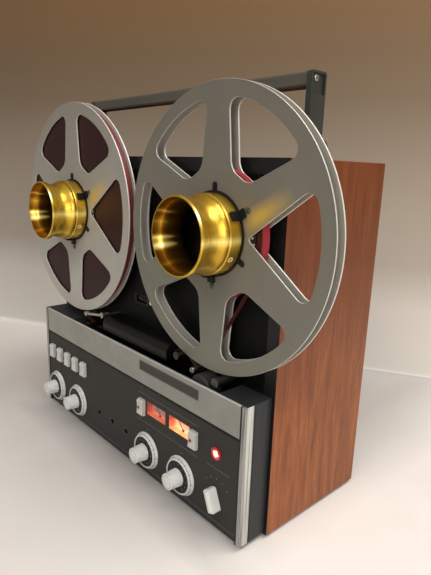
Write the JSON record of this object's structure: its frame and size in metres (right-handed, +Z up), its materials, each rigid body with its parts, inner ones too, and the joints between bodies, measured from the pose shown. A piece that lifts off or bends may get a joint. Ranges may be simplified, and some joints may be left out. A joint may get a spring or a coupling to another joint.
{
  "type": "reel-to-reel tape recorder",
  "caption": "Open-reel tape recorder in a wooden case, with large metal reels on waisted hub adapters, a control panel with keys, dials and meters, and a folding carrying handle.",
  "frame": {"origin": "under the middle of the whole machine, reels and adapters included, on the plane the feet stand on", "axes": "+Z up, -Y out of the control panel towards the user, +X to the user's right"},
  "size_m": [0.5414, 0.2114, 0.4363],
  "materials": {
    "walnut": "satin oiled walnut",
    "rubber": "matte",
    "back_panel": "matte black",
    "connector_plastic": "matte black",
    "zinc_steel": "zinc plated",
    "deck_black": "fine matte black",
    "motor_metal": "cast",
    "transformer_steel": "lacquered",
    "circuit_board": "matte green",
    "handle_arm_metal": "satin dark grey",
    "handle_bar_metal": "satin grey",
    "housing_black": "fine matte",
    "panel_black": "satin black",
    "trim_aluminium": "satin",
    "strip_aluminium": "brushed",
    "key_grey": "satin pale grey",
    "ring_plastic": "satin pale grey",
    "knob_plastic": "satin pale grey",
    "socket_black": "matte black",
    "meter_case": "matte black",
    "needle_red": "matte red",
    "lamp_red": "clear red, lit",
    "turntable_metal": "turned",
    "adapter_gold": "gold anodised, polished",
    "adapter_rubber": "matte black",
    "left_reel_metal": "satin anodised",
    "right_reel_metal": "satin anodised grey",
    "hub_black": "matte black",
    "tape_brown": "wound tape edge",
    "polished_steel": "polished",
    "arm_metal": "satin",
    "roller_metal": "matte rubber with a metal cap",
    "cover_black": "fine matte black",
    "head_metal": "polished",
    "counter_black": "black",
    "digit_white": "white with digits",
    "button_white": "satin"
  },
  "bodies": {
    "root": {"wooden_cabinet": "walnut", "feet": "rubber", "rear_panel": "back_panel", "connector_block": "connector_plastic", "chassis_frame": "zinc_steel", "deck_plate": "deck_black", "drive_motors": "motor_metal", "mains_transformer": "transformer_steel", "circuit_boards": "circuit_board", "control_housing": "housing_black", "control_panel": "panel_black", "end_trims": "trim_aluminium", "top_strip": "strip_aluminium", "jack_sockets": "socket_black", "meter_housing": "meter_case", "pilot_lamp": "lamp_red", "head_cover": "cover_black", "head_block": "polished_steel", "tape_heads": "head_metal", "tape_counter": "counter_black"},
    "handle": {"handle_arms": "handle_arm_metal", "handle_bar": "handle_bar_metal"},
    "left_reel": {"left_turntable": "turntable_metal", "left_adapter_base": "adapter_gold", "left_adapter_lugs": "adapter_rubber", "left_reel_flanges": "left_reel_metal", "left_reel_hub": "hub_black", "left_tape_pack": "tape_brown"},
    "left_adapter_lock": {"left_adapter_grip": "adapter_gold"},
    "right_reel": {"right_turntable": "turntable_metal", "right_adapter_base": "adapter_gold", "right_adapter_lugs": "adapter_rubber", "right_reel_flanges": "right_reel_metal", "right_reel_hub": "hub_black", "right_tape_pack": "tape_brown"},
    "right_adapter_lock": {"right_adapter_grip": "adapter_gold"},
    "capstan": {"capstan": "polished_steel"},
    "pinch_arm": {"pinch_arm": "arm_metal"},
    "pinch_roller": {"pinch_roller": "roller_metal"},
    "tension_arm": {"tension_arm": "arm_metal"},
    "counter_wheels": {"counter_wheels": "digit_white"},
    "counter_reset_button": {"counter_reset_button": "button_white"},
    "transport_key_1": {"transport_key_1": "key_grey"},
    "transport_key_2": {"transport_key_2": "key_grey"},
    "transport_key_3": {"transport_key_3": "key_grey"},
    "transport_key_4": {"transport_key_4": "key_grey"},
    "transport_key_5": {"transport_key_5": "key_grey"},
    "left_record_button": {"left_record_button": "key_grey"},
    "right_record_button": {"right_record_button": "key_grey"},
    "left_outer_ring": {"left_outer_ring": "ring_plastic"},
    "left_outer_knob": {"left_outer_knob": "knob_plastic"},
    "left_inner_ring": {"left_inner_ring": "ring_plastic"},
    "left_inner_knob": {"left_inner_knob": "knob_plastic"},
    "right_inner_ring": {"right_inner_ring": "ring_plastic"},
    "right_inner_knob": {"right_inner_knob": "knob_plastic"},
    "right_outer_ring": {"right_outer_ring": "ring_plastic"},
    "right_outer_knob": {"right_outer_knob": "knob_plastic"},
    "power_selector": {"power_selector": "knob_plastic"},
    "left_meter_needle": {"left_meter_needle": "needle_red"},
    "right_meter_needle": {"right_meter_needle": "needle_red"}
  },
  "joints": [
    {"name": "handle_fold", "type": "hinge", "parent": "root", "child": "handle", "pos_m": [0, 0.0203, 0.371], "axis": [-1, 0, 0], "range_deg": [0, 90]},
    {"name": "left_reel_spin", "type": "hinge", "parent": "root", "child": "left_reel", "pos_m": [-0.1374, -0.0611, 0.2925], "axis": [0, 1, 0], "continuous": true},
    {"name": "left_adapter_turn", "type": "hinge", "parent": "left_reel", "child": "left_adapter_lock", "pos_m": [-0.1374, -0.0611, 0.2925], "axis": [0, 1, 0], "range_deg": [0, 30]},
    {"name": "right_reel_spin", "type": "hinge", "parent": "root", "child": "right_reel", "pos_m": [0.1374, -0.0611, 0.2925], "axis": [0, 1, 0], "continuous": true},
    {"name": "right_adapter_turn", "type": "hinge", "parent": "right_reel", "child": "right_adapter_lock", "pos_m": [0.1374, -0.0611, 0.2925], "axis": [0, 1, 0], "range_deg": [0, 30]},
    {"name": "capstan_spin", "type": "hinge", "parent": "root", "child": "capstan", "pos_m": [0.1185, -0.0417, 0.1535], "axis": [0, 1, 0], "continuous": true},
    {"name": "pinch_arm_swing", "type": "hinge", "parent": "root", "child": "pinch_arm", "pos_m": [0.155, -0.0417, 0.153], "axis": [0, 1, 0], "range_deg": [0, 7.3], "stiffness_Nm_per_rad": 0.08, "springref_deg": -28.65},
    {"name": "pinch_roller_spin", "type": "hinge", "parent": "pinch_arm", "child": "pinch_roller", "pos_m": [0.1345, -0.0417, 0.1415], "axis": [0, 1, 0], "continuous": true},
    {"name": "tension_arm_swing", "type": "hinge", "parent": "root", "child": "tension_arm", "pos_m": [-0.062, -0.0417, 0.1668], "axis": [0, -1, 0], "range_deg": [0, 12], "stiffness_Nm_per_rad": 0.04, "springref_deg": -22.92},
    {"name": "counter_spin", "type": "hinge", "parent": "root", "child": "counter_wheels", "pos_m": [-0.008, -0.0357, 0.196], "axis": [1, 0, 0], "continuous": true},
    {"name": "counter_reset_press", "type": "slide", "parent": "root", "child": "counter_reset_button", "axis": [0, 1, 0], "range_m": [0, 0.002], "stiffness_N_per_m": 300, "springref_m": -0.001},
    {"name": "transport_key_1_press", "type": "slide", "parent": "root", "child": "transport_key_1", "axis": [0, 1, 0], "range_m": [0, 0.0035], "stiffness_N_per_m": 400, "springref_m": -0.001},
    {"name": "transport_key_2_press", "type": "slide", "parent": "root", "child": "transport_key_2", "axis": [0, 1, 0], "range_m": [0, 0.0035], "stiffness_N_per_m": 400, "springref_m": -0.001},
    {"name": "transport_key_3_press", "type": "slide", "parent": "root", "child": "transport_key_3", "axis": [0, 1, 0], "range_m": [0, 0.0035], "stiffness_N_per_m": 400, "springref_m": -0.001},
    {"name": "transport_key_4_press", "type": "slide", "parent": "root", "child": "transport_key_4", "axis": [0, 1, 0], "range_m": [0, 0.0035], "stiffness_N_per_m": 400, "springref_m": -0.001},
    {"name": "transport_key_5_press", "type": "slide", "parent": "root", "child": "transport_key_5", "axis": [0, 1, 0], "range_m": [0, 0.0035], "stiffness_N_per_m": 400, "springref_m": -0.001},
    {"name": "left_record_button_press", "type": "slide", "parent": "root", "child": "left_record_button", "axis": [0, 1, 0], "range_m": [0, 0.0035], "stiffness_N_per_m": 400, "springref_m": -0.001},
    {"name": "right_record_button_press", "type": "slide", "parent": "root", "child": "right_record_button", "axis": [0, 1, 0], "range_m": [0, 0.0035], "stiffness_N_per_m": 400, "springref_m": -0.001},
    {"name": "left_outer_ring_turn", "type": "hinge", "parent": "root", "child": "left_outer_ring", "pos_m": [-0.1707, -0.0752, 0.0367], "axis": [0, 1, 0], "range_deg": [-135, 135]},
    {"name": "left_outer_knob_turn", "type": "hinge", "parent": "root", "child": "left_outer_knob", "pos_m": [-0.1707, -0.0752, 0.0367], "axis": [0, 1, 0], "range_deg": [-135, 135]},
    {"name": "left_inner_ring_turn", "type": "hinge", "parent": "root", "child": "left_inner_ring", "pos_m": [-0.1094, -0.0752, 0.0367], "axis": [0, 1, 0], "range_deg": [-135, 135]},
    {"name": "left_inner_knob_turn", "type": "hinge", "parent": "root", "child": "left_inner_knob", "pos_m": [-0.1094, -0.0752, 0.0367], "axis": [0, 1, 0], "range_deg": [-135, 135]},
    {"name": "right_inner_ring_turn", "type": "hinge", "parent": "root", "child": "right_inner_ring", "pos_m": [0.0529, -0.0752, 0.0367], "axis": [0, 1, 0], "range_deg": [-135, 135]},
    {"name": "right_inner_knob_turn", "type": "hinge", "parent": "root", "child": "right_inner_knob", "pos_m": [0.0529, -0.0752, 0.0367], "axis": [0, 1, 0], "range_deg": [-135, 135]},
    {"name": "right_outer_ring_turn", "type": "hinge", "parent": "root", "child": "right_outer_ring", "pos_m": [0.115, -0.0752, 0.0367], "axis": [0, 1, 0], "range_deg": [-135, 135]},
    {"name": "right_outer_knob_turn", "type": "hinge", "parent": "root", "child": "right_outer_knob", "pos_m": [0.115, -0.0752, 0.0367], "axis": [0, 1, 0], "range_deg": [-135, 135]},
    {"name": "power_selector_turn", "type": "hinge", "parent": "root", "child": "power_selector", "pos_m": [0.169, -0.0752, 0.0395], "axis": [0, -1, 0], "range_deg": [-67.5, 22.5]},
    {"name": "left_needle_swing", "type": "hinge", "parent": "root", "child": "left_meter_needle", "pos_m": [0.06905, -0.0752, 0.0834], "axis": [0, 1, 0], "range_deg": [0, 76], "stiffness_Nm_per_rad": 0.0001, "springref_deg": -17.19},
    {"name": "right_needle_swing", "type": "hinge", "parent": "root", "child": "right_meter_needle", "pos_m": [0.10955, -0.0752, 0.0834], "axis": [0, 1, 0], "range_deg": [0, 76], "stiffness_Nm_per_rad": 0.0001, "springref_deg": -17.19}
  ],
  "couplings": [
    {"joint": "counter_spin", "follows": "right_reel_spin", "ratio": 0.1}
  ]
}
